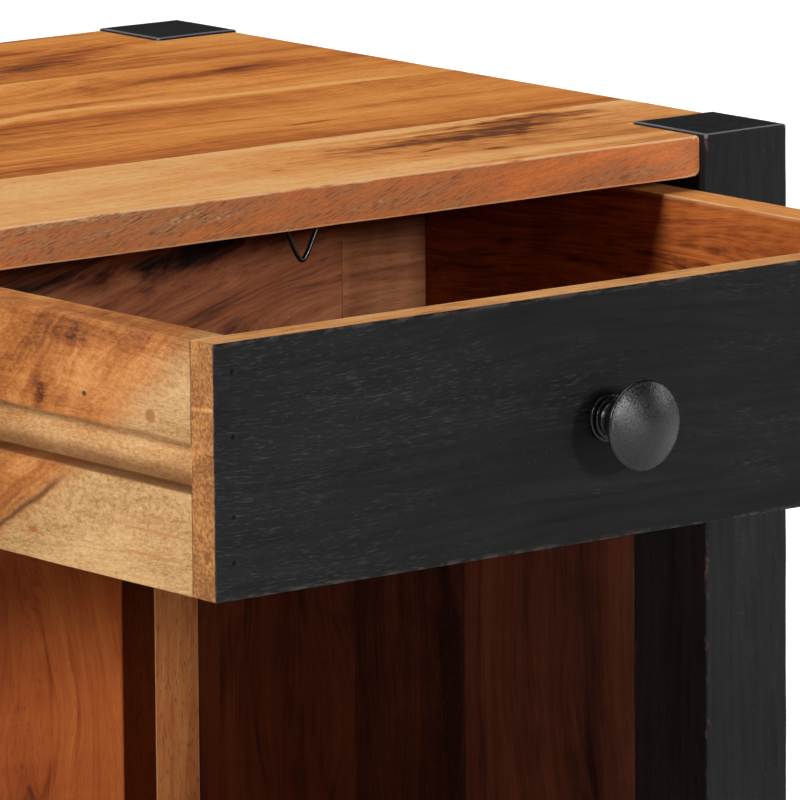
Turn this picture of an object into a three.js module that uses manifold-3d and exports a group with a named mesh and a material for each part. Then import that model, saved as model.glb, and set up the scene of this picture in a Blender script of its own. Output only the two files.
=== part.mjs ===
// Side table with one drawer over an open compartment, standing on four through-legs.
// Millimetres, +Z up, +X to the right of someone facing the drawer, +Y towards the back.
// The drawer rests part-way out, as it stands when somebody has just pulled it open.
import * as THREE from "three";
import { mergeVertices } from "three/addons/utils/BufferGeometryUtils.js";
import Module from "manifold-3d";

const wasm = await Module();
wasm.setup();

// Overall sizes
const width = 445; // over the outer faces of the legs
const depth = 400; // front faces of the legs to their back faces
const height = 550; // floor to the tops of the legs

// Clearances
const glueGap = 0.3; // between two pieces that touch
const holeGap = 0.3; // around the shank of a fastener
const drawerSideGap = 2; // each side of the drawer
const drawerTopGap = 5.4; // drawer to the underside of the tabletop
const runnerGap = 0.5; // above and below a runner in its groove

// Legs
const legWidth = 42;
const frontLegDepth = 45;
const backLegDepth = 42;
const legArris = 0.8;
const glideThickness = 4;
const glideRadius = 11;
const glidePinRadius = 2;
const glidePinLength = 14;

// Tabletop: boards glued edge to edge, notched round the legs
const topThickness = 16;
const topBelowLegs = 1; // the legs stand proud of the top by this
const topFrontSetback = 3.5;
const topSideSetback = 1;
const topBackSetback = 0.5;
const topArris = 0.9;
const topBoardWidths = [94, 110.5, 91, 100.5]; // front to back, trimmed to fill the depth

// Case walls
const wallThickness = 16;
const wallArris = 0.3;
const sideBoardWidths = [108.2, 73.5, 130.7]; // front to back, trimmed to fill the wall
const backBoardWidths = [120, 120, 120];
const battenSize = 23;

// Shelf and its cleats
const shelfTop = 126;
const shelfThickness = 16;
const shelfFrontSetback = 4;
const shelfBoardWidths = [116, 118, 119.7];
const cleatSize = 20;
const cleatScrewWell = 8; // how deep the screw heads sit in the cleats

// Drawer
const drawerOut = 152; // how far out the drawer stands at rest
const frontRecess = 1; // front's face behind the legs' faces, drawer shut
const frontThickness = 14;
const frontHeight = 94.4;
const drawerBackRoom = 13.3; // ends of the sides to the corner battens, drawer shut
const drawerSideThickness = 16;
const drawerBackThickness = 15;
const shortBackPiece = 43;
const bottomThickness = 5;
const bottomRise = 6; // bottom panel above the lower edges of the sides
const bottomHousing = 5; // how deep the panel sits in its grooves
const bottomSlack = 0.6;
const drawerArris = 0.5;

// Runners
const runnerThickness = 10;
const runnerHeight = 17;
const runnerDrop = 38.2; // drawer's top edge down to the top of the groove
const grooveDepth = 9;
const runnerFront = 18;

// Knob
const knobRadius = 17;
const knobReach = 26;
const knobAside = 4; // to the right of the drawer's middle
const knobBelowMiddle = 1.2;
const knobStemRadius = 7;
const knobCollarRadius = 9.2;
const knobCollarThickness = 2.4;
const knobBoltRadius = 2;
const knobBoltHeadRadius = 4.4;
const knobBoltHeadHeight = 2.4;
const knobBoltBite = 11; // how far the bolt runs into the stem

// Wire stop under the tabletop
const wireRadius = 1;
const wireFromFront = 27;
const wireDrop = 17.6; // underside of the top down to the wire's lowest point
const wireSpread = 21; // between the legs of the V at the underside
const wireSocket = 10; // how far each end runs up into the tabletop

// Wood screws, nails and dowels
const screwRadius = 1.8;
const screwHeadRadius = 3.7;
const screwHeadHeight = 2.6;
const screwLength = 22;
const screwSink = 0.4;
const nailRadius = 0.8;
const nailHeadRadius = 1.4;
const nailLength = 38;
const nailSink = 0.7; // head below the painted face
const nailInset = 8;
const nailFromTop = 10.6; // top nail below the drawer's top edge
const nailAboveGroove = 3.7;
const nailBelowGroove = 7.8;
const nailFromUnder = 13.9; // lowest nail above the drawer's lower edge
const dowelRadius = 4;
const dowelLength = 22;
const dowelTopShare = 9; // how much of a dowel is in the tabletop
const pinSides = 16;

// Places worked out from the sizes above
const halfWidth = width / 2;
const openingHalf = halfWidth - legWidth; // centre to an inner wall
const legBottom = glideThickness + glueGap;
const topFace = height - topBelowLegs;
const topUnder = topFace - topThickness;
const wallTop = topUnder - glueGap;
const backWallFront = depth - backLegDepth;
const shelfUnder = shelfTop - shelfThickness;
const cleatTop = shelfUnder - glueGap;
const wallBottom = cleatTop - cleatSize;
const drawerHalf = openingHalf - drawerSideGap;
const drawerTop = topUnder - drawerTopGap;
const drawerUnder = drawerTop - frontHeight;
const frontFace = frontRecess - drawerOut;
const frontBack = frontFace + frontThickness;
const runnerBack = backWallFront - battenSize - glueGap;
const drawerEnd = runnerBack - drawerBackRoom - drawerOut;
const drawerBackFront = drawerEnd - drawerBackThickness;
const grooveTop = drawerTop - runnerDrop;
const grooveUnder = grooveTop - runnerHeight - 2 * runnerGap;
const bottomUnder = drawerUnder + bottomRise;
const bottomTop = bottomUnder + bottomThickness;
const knobHeight = (drawerTop + drawerUnder) / 2 - knobBelowMiddle;
const sideRuns = boardRuns(frontLegDepth + glueGap, sideBoardWidths, backWallFront - glueGap);
const topRuns = boardRuns(topFrontSetback, topBoardWidths, depth - topBackSetback);
const frontBoardMiddle = within(sideRuns[0], 0.5);
const backBoardMiddle = within(sideRuns[2], 0.5);
const wireLow = topUnder - wireDrop;

const acacia = wood(0xb06a33, 0.55);
const paleAcacia = wood(0xc79a63, 0.7);
const darkAcacia = wood(0x7a3f20, 0.6);
const blackPaint = wood(0x1b1c1d, 0.5);
const gunmetal = metal(0x2c2d2f, 0.38);
const steel = metal(0x8f9194, 0.35);
const blackWire = metal(0x3a3b3d, 0.4);
const glidePlastic = new THREE.MeshStandardMaterial({ color: 0x241f1c, roughness: 0.6 });

function wood(color, roughness) {
  return new THREE.MeshStandardMaterial({ color, roughness, metalness: 0 });
}

function metal(color, roughness) {
  return new THREE.MeshStandardMaterial({ color, roughness, metalness: 0.9 });
}

// A place inside a run, at a share of the way from its low end to its high end
function within([low, high], share) {
  return low + (high - low) * share;
}

// A geometry as a solid that can be cut
function solidFrom(geometry) {
  const plain = geometry.clone();
  plain.deleteAttribute("normal");
  plain.deleteAttribute("uv");
  const merged = mergeVertices(plain, 1e-4);
  const vertProperties = new Float32Array(merged.attributes.position.array);
  const triVerts = new Uint32Array(merged.index.array);
  return new wasm.Manifold(new wasm.Mesh({ numProp: 3, vertProperties, triVerts }));
}

function geometryFrom(solid) {
  const mesh = solid.getMesh();
  const geometry = new THREE.BufferGeometry();
  geometry.setAttribute("position", new THREE.BufferAttribute(mesh.vertProperties, 3));
  geometry.setIndex(new THREE.BufferAttribute(mesh.triVerts, 1));
  geometry.computeVertexNormals();
  return geometry;
}

// A geometry with each cutter taken out of it
function cut(geometry, cutters) {
  let solid = solidFrom(geometry);
  for (const cutter of cutters) solid = solid.subtract(solidFrom(cutter));
  return geometryFrom(solid);
}

// A board between two corners, every arris taken off by the same amount
function board(low, high, arris) {
  const [sizeX, sizeY, sizeZ] = high.map((value, axis) => value - low[axis]);
  const halfX = sizeX / 2 - arris;
  const halfY = sizeY / 2 - arris;
  const nip = arris * Math.tan(Math.PI / 8);
  const outline = new THREE.Shape([
    new THREE.Vector2(-halfX + nip, -halfY),
    new THREE.Vector2(halfX - nip, -halfY),
    new THREE.Vector2(halfX, -halfY + nip),
    new THREE.Vector2(halfX, halfY - nip),
    new THREE.Vector2(halfX - nip, halfY),
    new THREE.Vector2(-halfX + nip, halfY),
    new THREE.Vector2(-halfX, halfY - nip),
    new THREE.Vector2(-halfX, -halfY + nip),
  ]);
  const geometry = new THREE.ExtrudeGeometry(outline, {
    depth: sizeZ - 2 * arris,
    bevelThickness: arris,
    bevelSize: arris,
    bevelSegments: 1,
  });
  geometry.translate((low[0] + high[0]) / 2, (low[1] + high[1]) / 2, low[2] + arris);
  return geometry;
}

// A plain block between two corners, for cutting with
function block(low, high) {
  const size = high.map((value, axis) => value - low[axis]);
  const geometry = new THREE.BoxGeometry(...size);
  geometry.translate(...high.map((value, axis) => (value + low[axis]) / 2));
  return geometry;
}

// A round piece from its profile of [radius, distance] points, pointing along a direction from a place
function turned(profile, place, direction, sides = pinSides) {
  const points = profile.map(([radius, along]) => new THREE.Vector2(radius, along));
  const geometry = new THREE.LatheGeometry(points, sides);
  const turn = new THREE.Quaternion().setFromUnitVectors(
    new THREE.Vector3(0, 1, 0),
    new THREE.Vector3(...direction),
  );
  geometry.applyQuaternion(turn);
  geometry.translate(...place);
  return geometry;
}

// A straight round hole that starts a little outside its mouth
function hole(radius, length, place, direction) {
  const outside = 1;
  const profile = [[0, -outside], [radius, -outside], [radius, length], [0, length]];
  return turned(profile, place, direction);
}

const table = new THREE.Group();
const carcase = new THREE.Group();
const drawer = new THREE.Group();
table.add(carcase, drawer);

function add(group, name, geometry, material) {
  const mesh = new THREE.Mesh(geometry, material);
  mesh.name = name;
  group.add(mesh);
}

// The two sides: name, and the direction outwards along X
const sides = [
  { side: "left", out: -1 },
  { side: "right", out: 1 },
];

// Orders two X values, so a mirrored piece still runs low to high
function across(out, inner, outer) {
  return out > 0 ? [inner, outer] : [-outer, -inner];
}

// Legs, each on a round glide
const legPlans = sides.flatMap(({ side, out }) => [
  { name: `front_${side}`, out, front: 0, back: frontLegDepth },
  { name: `back_${side}`, out, front: depth - backLegDepth, back: depth },
]);

function legCutter({ out, front, back }) {
  const [x0, x1] = across(out, openingHalf - glueGap, halfWidth + 5);
  const outsideFront = front === 0 ? -5 : front - glueGap;
  const outsideBack = back === depth ? depth + 5 : back + glueGap;
  return block([x0, outsideFront, topUnder - 5], [x1, outsideBack, topFace + 5]);
}

function makeLegs() {
  for (const plan of legPlans) {
    const [x0, x1] = across(plan.out, openingHalf, halfWidth);
    const blank = board([x0, plan.front, legBottom], [x1, plan.back, height], legArris);
    const foot = [(x0 + x1) / 2, (plan.front + plan.back) / 2, legBottom];
    const cutters = [hole(glidePinRadius + holeGap, glidePinLength, foot, [0, 0, 1])];
    for (const screw of runnerScrewPlans(plan.out)) cutters.push(screw.pilot);
    add(carcase, `leg_${plan.name}`, cut(blank, cutters), blackPaint);
    makeGlide(plan.name, foot);
  }
}

function makeGlide(name, foot) {
  const edge = 1;
  const profile = [
    [0, -glideThickness - glueGap],
    [glideRadius - edge, -glideThickness - glueGap],
    [glideRadius, -glideThickness - glueGap + edge],
    [glideRadius, -glueGap],
    [glidePinRadius, -glueGap],
    [glidePinRadius, glidePinLength - holeGap],
    [0, glidePinLength - holeGap],
  ];
  add(carcase, `glide_${name}`, turned(profile, foot, [0, 0, 1], 24), glidePlastic);
}

// Boards side by side from start to end, their widths trimmed alike, a glue gap at each joint
function boardRuns(start, widths, end) {
  const total = widths.reduce((sum, value) => sum + value, 0);
  const trim = (end - start) / total;
  let edge = start;
  return widths.map((value, index) => {
    const low = edge + (index > 0 ? glueGap / 2 : 0);
    edge += value * trim;
    const high = edge - (index < widths.length - 1 ? glueGap / 2 : 0);
    return [low, high];
  });
}

// Upright dowels between the side walls and the tabletop
const dowelPlans = sides.flatMap(({ side, out }) =>
  [within(topRuns[1], 0.3), within(topRuns[2], 0.5)].map((y, index) => ({
    name: `dowel_${side}_${index + 1}`,
    place: [out * (openingHalf + wallThickness / 2), y, topUnder + dowelTopShare - dowelLength],
  })),
);

function dowelHole({ place }) {
  return hole(dowelRadius + holeGap, dowelLength + holeGap, place, [0, 0, 1]);
}

function makeDowels() {
  const edge = 0.8;
  const profile = [
    [0, 0],
    [dowelRadius - edge, 0],
    [dowelRadius, edge],
    [dowelRadius, dowelLength - edge],
    [dowelRadius - edge, dowelLength],
    [0, dowelLength],
  ];
  for (const { name, place } of dowelPlans) {
    add(carcase, name, turned(profile, place, [0, 0, 1]), paleAcacia);
  }
}

function makeTop() {
  topRuns.forEach(([y0, y1], index) => {
    const reach = halfWidth - topSideSetback;
    const blank = board([-reach, y0, topUnder], [reach, y1, topFace], topArris);
    const cutters = [...legPlans.map(legCutter), ...dowelPlans.map(dowelHole)];
    cutters.push(...wireSockets());
    add(carcase, `top_board_${index + 1}`, cut(blank, cutters), acacia);
  });
}

// Side walls between the legs, boards upright
function makeSideWalls() {
  for (const { side, out } of sides) {
    const [x0, x1] = across(out, openingHalf, openingHalf + wallThickness);
    sideRuns.forEach(([y0, y1], index) => {
      const blank = board([x0, y0, wallBottom], [x1, y1, wallTop], wallArris);
      const cutters = dowelPlans.map(dowelHole);
      for (const screw of runnerScrewPlans(out)) cutters.push(screw.pilot);
      for (const screw of cleatScrewPlans(out)) cutters.push(screw.pilot);
      add(carcase, `side_board_${side}_${index + 1}`, cut(blank, cutters), darkAcacia);
    });
  }
}

// Back wall between the back legs, boards upright, flush with the legs' front faces
function makeBackWall() {
  const half = openingHalf - glueGap;
  boardRuns(-half, backBoardWidths, half).forEach(([x0, x1], index) => {
    const low = [x0, backWallFront, wallBottom];
    const high = [x1, backWallFront + wallThickness, wallTop];
    add(carcase, `back_board_${index + 1}`, board(low, high, wallArris), acacia);
  });
}

// Square battens up the two back corners of the compartment
function makeBattens() {
  for (const { side, out } of sides) {
    const [x0, x1] = across(out, openingHalf - glueGap - battenSize, openingHalf - glueGap);
    const low = [x0, backWallFront - glueGap - battenSize, shelfTop + glueGap];
    const high = [x1, backWallFront - glueGap, wallTop];
    add(carcase, `corner_batten_${side}`, board(low, high, 0.6), paleAcacia);
  }
}

function makeShelf() {
  const half = openingHalf - glueGap;
  const boards = boardRuns(shelfFrontSetback, shelfBoardWidths, backWallFront - glueGap);
  boards.forEach(([y0, y1], index) => {
    const blank = board([-half, y0, shelfUnder], [half, y1, shelfTop], 0.6);
    add(carcase, `shelf_board_${index + 1}`, blank, acacia);
  });
}

// Countersunk wood screws, driven outwards along X
function screwPlan(name, x, y, z, out) {
  const mouth = [x + out * screwSink, y, z];
  const direction = [out, 0, 0];
  const outside = 1;
  const pilot = hole(screwRadius + holeGap, screwLength + holeGap, mouth, direction);
  const sink = turned(
    [
      [0, -outside - screwSink],
      [screwHeadRadius + holeGap, -outside - screwSink],
      [screwHeadRadius + holeGap, 0.2],
      [screwRadius + holeGap, screwHeadHeight + 0.2],
      [0, screwHeadHeight + 0.2],
    ],
    mouth,
    direction,
  );
  return { name, mouth, direction, pilot, sink };
}

function screwGeometry({ mouth, direction }) {
  const point = 3;
  const driveRadius = 1.5;
  const driveDepth = 1.2;
  const profile = [
    [0, driveDepth],
    [driveRadius, 0],
    [screwHeadRadius, 0],
    [screwRadius, screwHeadHeight],
    [screwRadius, screwLength - point],
    [0, screwLength],
  ];
  return turned(profile, mouth, direction);
}

// Runners: wooden strips along the inner walls that fill the drawer's grooves
function runnerScrewPlans(out) {
  const side = out < 0 ? "left" : "right";
  const x = out * (openingHalf - glueGap - runnerThickness);
  const z = grooveTop - runnerGap - runnerHeight / 2;
  const places = [(runnerFront + frontLegDepth) / 2, backBoardMiddle];
  return places.map((y, index) => screwPlan(`runner_screw_${side}_${index + 1}`, x, y, z, out));
}

function makeRunners() {
  for (const { side, out } of sides) {
    const inner = openingHalf - glueGap - runnerThickness;
    const [x0, x1] = across(out, inner, openingHalf - glueGap);
    const z1 = grooveTop - runnerGap;
    const blank = board([x0, runnerFront, z1 - runnerHeight], [x1, runnerBack, z1], 0.6);
    const screws = runnerScrewPlans(out);
    const cutters = screws.flatMap((screw) => [screw.pilot, screw.sink]);
    add(carcase, `runner_${side}`, cut(blank, cutters), paleAcacia);
    for (const screw of screws) add(carcase, screw.name, screwGeometry(screw), steel);
  }
}

// Cleats under the shelf, screwed to the side walls
function cleatScrewPlans(out) {
  const side = out < 0 ? "left" : "right";
  const x = out * (openingHalf - glueGap - cleatSize + cleatScrewWell);
  const z = cleatTop - cleatSize / 2;
  const places = [frontBoardMiddle, backBoardMiddle];
  return places.map((y, index) => screwPlan(`cleat_screw_${side}_${index + 1}`, x, y, z, out));
}

function makeCleats() {
  for (const { side, out } of sides) {
    const inner = openingHalf - glueGap - cleatSize;
    const [x0, x1] = across(out, inner, openingHalf - glueGap);
    const low = [x0, shelfFrontSetback + 10, cleatTop - cleatSize];
    const high = [x1, backWallFront - glueGap, cleatTop];
    const screws = cleatScrewPlans(out);
    const cutters = screws.flatMap((screw) => {
      const wellMouth = [out * inner, screw.mouth[1], screw.mouth[2]];
      const wellDepth = cleatScrewWell + screwSink;
      const well = hole(screwHeadRadius + holeGap, wellDepth, wellMouth, screw.direction);
      return [screw.pilot, screw.sink, well];
    });
    add(carcase, `shelf_cleat_${side}`, cut(board(low, high, 0.6), cutters), paleAcacia);
    for (const screw of screws) add(carcase, screw.name, screwGeometry(screw), steel);
  }
}

// The bent wire that stops the drawer's back at the end of its travel
function wirePath() {
  const bend = 2.6;
  const foot = wireSpread / 2;
  const low = wireLow + wireRadius;
  const lean = Math.atan2(foot, wireDrop);
  const path = new THREE.CurvePath();
  const topZ = topUnder + wireSocket;
  const side = (sign) => [
    new THREE.Vector3(sign * foot, wireFromFront, topZ),
    new THREE.Vector3(sign * foot, wireFromFront, topUnder - 1),
    new THREE.Vector3(sign * bend * Math.cos(lean), wireFromFront, low + bend * (1 - Math.sin(lean))),
  ];
  const left = side(-1);
  const right = side(1).reverse();
  path.add(new THREE.LineCurve3(left[0], left[1]));
  path.add(new THREE.LineCurve3(left[1], left[2]));
  const tip = new THREE.Vector3(0, wireFromFront, low - bend / 2);
  path.add(new THREE.QuadraticBezierCurve3(left[2], tip, right[0]));
  path.add(new THREE.LineCurve3(right[0], right[1]));
  path.add(new THREE.LineCurve3(right[1], right[2]));
  return path;
}

function wireSockets() {
  return [-1, 1].map((sign) => {
    const mouth = [(sign * wireSpread) / 2, wireFromFront, topUnder];
    return hole(wireRadius + holeGap, wireSocket + holeGap, mouth, [0, 0, 1]);
  });
}

function makeWireStop() {
  const section = new THREE.Shape().absarc(0, 0, wireRadius, 0, 2 * Math.PI, false);
  const geometry = new THREE.ExtrudeGeometry(section, {
    extrudePath: wirePath(),
    steps: 60,
    curveSegments: 6,
  });
  add(carcase, "wire_stop", geometry, blackWire);
}

// Nails through the front into the ends of the drawer's sides, clear of the runner grooves
const nailHeights = [
  drawerTop - nailFromTop,
  grooveTop + nailAboveGroove,
  grooveUnder - nailBelowGroove,
  drawerUnder + nailFromUnder,
];
const nailPlans = sides.flatMap(({ side, out }) =>
  nailHeights.map((z, index) => ({
    name: `front_nail_${side}_${index + 1}`,
    place: [out * (drawerHalf - nailInset), frontFace + nailSink, z],
  })),
);

function nailHole({ place }) {
  const headDepth = 1;
  const profile = [
    [0, -nailSink - 1],
    [nailHeadRadius + holeGap, -nailSink - 1],
    [nailHeadRadius + holeGap, headDepth + 0.2],
    [nailRadius + holeGap, headDepth + 0.2],
    [nailRadius + holeGap, nailLength + holeGap],
    [0, nailLength + holeGap],
  ];
  return turned(profile, place, [0, 1, 0], 10);
}

function makeNails() {
  const point = 3;
  const headDepth = 1;
  const profile = [
    [0, 0],
    [nailHeadRadius, 0],
    [nailHeadRadius, headDepth],
    [nailRadius, headDepth],
    [nailRadius, nailLength - point],
    [0, nailLength],
  ];
  for (const { name, place } of nailPlans) {
    add(drawer, name, turned(profile, place, [0, 1, 0], 10), steel);
  }
}

// The groove for the bottom panel, seen from the inside of the drawer
function bottomSlot(back) {
  const reach = drawerHalf - drawerSideThickness + bottomHousing;
  return block(
    [-reach, frontBack - bottomHousing, bottomUnder - bottomSlack / 2],
    [reach, back, bottomTop + bottomSlack / 2],
  );
}

function makeDrawerFront() {
  const low = [-drawerHalf, frontFace, drawerUnder];
  const high = [drawerHalf, frontBack, drawerTop];
  const cutters = [bottomSlot(frontBack + 5), ...nailPlans.map(nailHole)];
  const boltMouth = [knobAside, frontBack, knobHeight];
  cutters.push(hole(knobBoltRadius + holeGap, frontThickness + 1, boltMouth, [0, -1, 0]));
  add(drawer, "drawer_front", cut(board(low, high, drawerArris), cutters), blackPaint);
}

function makeDrawerSides() {
  for (const { side, out } of sides) {
    const [x0, x1] = across(out, drawerHalf - drawerSideThickness, drawerHalf);
    const low = [x0, frontBack + glueGap, drawerUnder];
    const high = [x1, drawerEnd, drawerTop];
    const [groove0, groove1] = across(out, drawerHalf - grooveDepth, drawerHalf + 5);
    const groove = block([groove0, frontBack - 5, grooveUnder], [groove1, drawerEnd + 5, grooveTop]);
    const cutters = [groove, bottomSlot(drawerEnd + 5), ...nailPlans.map(nailHole)];
    add(drawer, `drawer_side_${side}`, cut(board(low, high, drawerArris), cutters), paleAcacia);
  }
}

function makeDrawerBack() {
  const half = drawerHalf - drawerSideThickness - glueGap;
  const joint = half - shortBackPiece;
  const z0 = bottomTop + bottomSlack / 2 + glueGap;
  const pieces = [
    ["drawer_back_long", -half, joint - glueGap / 2],
    ["drawer_back_short", joint + glueGap / 2, half],
  ];
  for (const [name, x0, x1] of pieces) {
    const low = [x0, drawerBackFront, z0];
    const high = [x1, drawerEnd, drawerTop];
    add(drawer, name, board(low, high, drawerArris), darkAcacia);
  }
}

function makeDrawerBottom() {
  const half = drawerHalf - drawerSideThickness + bottomHousing - bottomSlack;
  const low = [-half, frontBack - bottomHousing + bottomSlack, bottomUnder];
  const high = [half, drawerEnd - 1, bottomTop];
  add(drawer, "drawer_bottom", board(low, high, 0.2), paleAcacia);
}

// The knob: a low dome on a ringed stem, over a collar, held by a bolt from inside
function makeKnob() {
  const rimThickness = 2.2;
  const dome = 3.6;
  const collarFace = knobCollarThickness + glueGap;
  const rim = knobReach - dome;
  const ringRadius = 8.2;
  const profile = [
    [0, collarFace],
    [knobStemRadius, collarFace],
    [ringRadius, collarFace + 0.8],
    [ringRadius, collarFace + 2],
    [knobStemRadius, collarFace + 2.8],
    [knobStemRadius - 0.6, collarFace + 5],
    [knobStemRadius - 0.2, rim - rimThickness - 5],
    [knobRadius * 0.62, rim - rimThickness - 1.6],
    [knobRadius - 1, rim - rimThickness],
  ];
  const rimSteps = 4;
  for (let step = 0; step <= rimSteps; step += 1) {
    const angle = (Math.PI * step) / rimSteps - Math.PI / 2;
    profile.push([
      knobRadius - rimThickness / 2 + (rimThickness / 2) * Math.cos(angle),
      rim - rimThickness / 2 + (rimThickness / 2) * Math.sin(angle),
    ]);
  }
  const domeSteps = 6;
  for (let step = 1; step <= domeSteps; step += 1) {
    const share = 1 - step / domeSteps;
    profile.push([(knobRadius - rimThickness / 2) * share, rim + dome * (1 - share * share)]);
  }
  const place = [knobAside, frontFace, knobHeight];
  const solid = turned(profile, place, [0, -1, 0], 40);
  const boltRun = hole(knobBoltRadius + holeGap, collarFace + knobBoltBite, place, [0, -1, 0]);
  add(drawer, "knob", cut(solid, [boltRun]), gunmetal);

  const collarProfile = [
    [0, glueGap],
    [knobCollarRadius, glueGap],
    [knobCollarRadius, knobCollarThickness - 0.7],
    [knobCollarRadius - 0.7, knobCollarThickness],
    [0, knobCollarThickness],
  ];
  const collar = turned(collarProfile, place, [0, -1, 0], 32);
  const through = hole(knobBoltRadius + holeGap, knobCollarThickness + 1, place, [0, -1, 0]);
  add(drawer, "knob_collar", cut(collar, [through]), gunmetal);

  const shank = frontThickness + collarFace + knobBoltBite - 1;
  const boltProfile = [
    [0, -glueGap - knobBoltHeadHeight],
    [knobBoltHeadRadius - 1.2, -glueGap - knobBoltHeadHeight],
    [knobBoltHeadRadius, -glueGap - knobBoltHeadHeight + 1.2],
    [knobBoltHeadRadius, -glueGap],
    [knobBoltRadius, -glueGap],
    [knobBoltRadius, shank],
    [0, shank],
  ];
  const boltPlace = [knobAside, frontBack, knobHeight];
  add(drawer, "knob_bolt", turned(boltProfile, boltPlace, [0, -1, 0]), steel);
}

makeLegs();
makeTop();
makeDowels();
makeSideWalls();
makeBackWall();
makeBattens();
makeShelf();
makeCleats();
makeRunners();
makeWireStop();
makeDrawerFront();
makeDrawerSides();
makeDrawerBack();
makeDrawerBottom();
makeNails();
makeKnob();

// The origin is the middle of the footprint, knob included, on the floor
const foremost = frontFace - knobReach;
table.position.y = -(foremost + depth) / 2;

export default table;
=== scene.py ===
import math
import bpy
import numpy as np
from mathutils import Matrix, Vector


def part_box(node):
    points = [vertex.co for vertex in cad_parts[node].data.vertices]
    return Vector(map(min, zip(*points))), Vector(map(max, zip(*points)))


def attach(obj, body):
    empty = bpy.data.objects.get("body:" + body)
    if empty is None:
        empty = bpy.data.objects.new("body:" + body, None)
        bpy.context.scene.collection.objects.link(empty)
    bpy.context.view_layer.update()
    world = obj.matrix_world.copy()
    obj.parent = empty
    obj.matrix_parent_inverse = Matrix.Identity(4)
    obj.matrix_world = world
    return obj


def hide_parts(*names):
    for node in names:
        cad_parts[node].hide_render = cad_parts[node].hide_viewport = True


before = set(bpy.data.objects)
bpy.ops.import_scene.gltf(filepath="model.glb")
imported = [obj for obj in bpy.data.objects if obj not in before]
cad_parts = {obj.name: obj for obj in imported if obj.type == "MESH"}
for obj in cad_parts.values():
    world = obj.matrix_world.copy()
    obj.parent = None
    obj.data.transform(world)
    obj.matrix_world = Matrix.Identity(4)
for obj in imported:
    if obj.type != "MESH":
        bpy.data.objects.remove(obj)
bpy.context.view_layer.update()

mm = 0.001
axisX, axisY, axisZ = 0, 1, 2


class Wire:
    # one socket of a material; sums and products on it add Math nodes
    def __init__(self, paint, socket):
        self.paint = paint
        self.socket = socket

    def join(self, kind, first, second):
        return self.paint.add("ShaderNodeMath", {"operation": kind}, {0: first, 1: second})

    def __add__(self, other):
        return self.join("ADD", self, other)

    def __radd__(self, other):
        return self.join("ADD", other, self)

    def __sub__(self, other):
        return self.join("SUBTRACT", self, other)

    def __rsub__(self, other):
        return self.join("SUBTRACT", other, self)

    def __mul__(self, other):
        return self.join("MULTIPLY", self, other)

    def __rmul__(self, other):
        return self.join("MULTIPLY", other, self)

    def __truediv__(self, other):
        return self.join("DIVIDE", self, other)

    def __pow__(self, other):
        return self.join("POWER", self, other)

    def __abs__(self):
        return self.paint.add("ShaderNodeMath", {"operation": "ABSOLUTE"}, {0: self})

    def most(self, other):
        return self.join("MAXIMUM", self, other)


class Paint:
    # a material while its nodes are put together
    def __init__(self, name):
        self.material = bpy.data.materials.new(name)
        self.material.use_nodes = True
        self.tree = self.material.node_tree
        self.shader = self.tree.nodes["Principled BSDF"]

    def plug(self, socket, value):
        if isinstance(value, Wire):
            self.tree.links.new(value.socket, socket)
        else:
            socket.default_value = value

    def add(self, kind, settings=None, inputs=None, output=0):
        node = self.tree.nodes.new(kind)
        for key, value in (settings or {}).items():
            if key == "stops":
                self.setStops(node.color_ramp, value)
            else:
                setattr(node, key, value)
        for key, value in (inputs or {}).items():
            self.plug(node.inputs[key], value)
        return Wire(self, node.outputs[output])

    def setStops(self, ramp, stops):
        while len(ramp.elements) < len(stops):
            ramp.elements.new(0.5)
        for element, (place, colour) in zip(ramp.elements, stops):
            element.position = place
            element.color = (*colour, 1)

    def split(self, vector):
        node = self.tree.nodes.new("ShaderNodeSeparateXYZ")
        self.plug(node.inputs[0], vector)
        return [Wire(self, socket) for socket in node.outputs]

    def combine(self, x, y, z):
        return self.add("ShaderNodeCombineXYZ", None, {0: x, 1: y, 2: z})

    def vector(self, kind, first, second):
        return self.add("ShaderNodeVectorMath", {"operation": kind}, {0: first, 1: second})

    def noise(self, vector, detail=2.0, rough=0.5):
        inputs = {"Vector": vector, "Scale": 1.0, "Detail": detail, "Roughness": rough}
        return self.add("ShaderNodeTexNoise", None, inputs)

    def ramp(self, value, stops):
        return self.add("ShaderNodeValToRGB", {"stops": stops}, {0: value})

    def mix(self, factor, first, second, blend="MIX"):
        settings = {"data_type": "RGBA", "blend_type": blend}
        return self.add("ShaderNodeMix", settings, {0: factor, 6: first, 7: second}, 2)

    # 0 below low, 1 above high, smooth between
    def step(self, value, low, high):
        settings = {"interpolation_type": "SMOOTHSTEP"}
        inputs = {"Value": value, "From Min": low, "From Max": high}
        return self.add("ShaderNodeMapRange", settings, inputs)

    def bump(self, height, strength, distance):
        inputs = {"Height": height, "Strength": strength, "Distance": distance}
        return self.add("ShaderNodeBump", None, inputs)

    def finish(self, **sockets):
        for name, value in sockets.items():
            self.plug(self.shader.inputs[name.replace("_", " ")], value)
        return self.material


# Smooth waviness of a set of points: the mean of sines run in fixed random directions
def waviness(points, wavelength, seed):
    rng = np.random.default_rng(seed)
    directions = rng.normal(size=(9, 3))
    directions /= np.linalg.norm(directions, axis=1)[:, None]
    lengths = wavelength * rng.uniform(0.6, 1.7, 9)
    phases = rng.uniform(0, 2 * math.pi, 9)
    turns = points @ (directions * (2 * math.pi / lengths)[:, None]).T + phases
    return np.sin(turns).mean(axis=-1) * 2


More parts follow.
